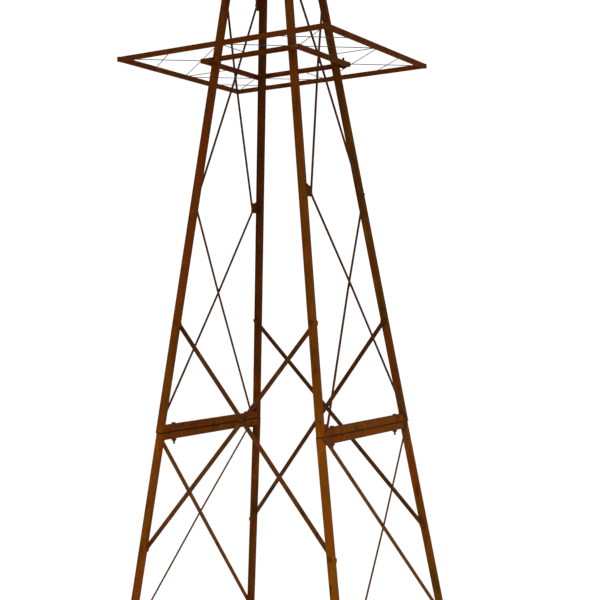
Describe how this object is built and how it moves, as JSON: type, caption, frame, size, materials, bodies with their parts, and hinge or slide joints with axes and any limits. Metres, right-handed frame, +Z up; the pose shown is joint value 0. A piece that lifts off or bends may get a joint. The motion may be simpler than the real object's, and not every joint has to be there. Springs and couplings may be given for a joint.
{
  "type": "garden obelisk",
  "caption": "Tall tapering lattice tower of rusted steel tube in two bolted sections, with crossed bracing and a square platform frame high up, for climbing plants.",
  "frame": {"origin": "on the ground, at the centre of the four feet", "axes": "+Z up; the front, with crossed flats bolted inside its legs, faces -Y; the welded side frames with the joint rails are at -X and +X"},
  "size_m": [0.892, 0.892, 2.9622],
  "materials": {
    "leg_tube": "matt rust",
    "rail_tube": "matt rust",
    "flat_bar": "matt rust",
    "round_rod": "matt rust",
    "frame_tube": "matt rust",
    "wire": "dull, lightly rusted",
    "fasteners": "dark rust",
    "plate": "matt rust",
    "finial": "matt rust"
  },
  "bodies": {
    "root": {"base_brace_back_falling": "flat_bar", "base_brace_back_rising": "flat_bar", "base_brace_front_falling": "flat_bar", "base_brace_front_rising": "flat_bar", "brace_bolts": "fasteners", "finial": "finial", "foot_plate_back_left": "plate", "foot_plate_back_right": "plate", "foot_plate_front_left": "plate", "foot_plate_front_right": "plate", "head_plate": "plate", "joint_bolts": "fasteners", "joint_brace_back_falling": "flat_bar", "joint_brace_back_rising": "flat_bar", "joint_brace_front_falling": "flat_bar", "joint_brace_front_rising": "flat_bar", "lower_flat_left_1": "flat_bar", "lower_flat_left_2": "flat_bar", "lower_flat_right_1": "flat_bar", "lower_flat_right_2": "flat_bar", "lower_joint_rail_left": "rail_tube", "lower_joint_rail_right": "rail_tube", "lower_leg_back_left": "leg_tube", "lower_leg_back_right": "leg_tube", "lower_leg_front_left": "leg_tube", "lower_leg_front_right": "leg_tube", "lower_rod_left_1": "round_rod", "lower_rod_left_2": "round_rod", "lower_rod_right_1": "round_rod", "lower_rod_right_2": "round_rod", "nuts": "fasteners", "platform_back": "frame_tube", "platform_front": "frame_tube", "platform_left": "frame_tube", "platform_right": "frame_tube", "platform_wires": "wire", "ring_back": "frame_tube", "ring_bolts": "fasteners", "ring_front": "frame_tube", "ring_left": "frame_tube", "ring_right": "frame_tube", "ring_spacers": "fasteners", "upper_joint_rail_left": "rail_tube", "upper_joint_rail_right": "rail_tube", "upper_leg_back_left": "leg_tube", "upper_leg_back_right": "leg_tube", "upper_leg_front_left": "leg_tube", "upper_leg_front_right": "leg_tube", "upper_rod_left_back_1": "round_rod", "upper_rod_left_back_2": "round_rod", "upper_rod_left_back_3": "round_rod", "upper_rod_left_front_1": "round_rod", "upper_rod_left_front_2": "round_rod", "upper_rod_left_front_3": "round_rod", "upper_rod_right_back_1": "round_rod", "upper_rod_right_back_2": "round_rod", "upper_rod_right_back_3": "round_rod", "upper_rod_right_front_1": "round_rod", "upper_rod_right_front_2": "round_rod", "upper_rod_right_front_3": "round_rod"}
  },
  "joints": []
}
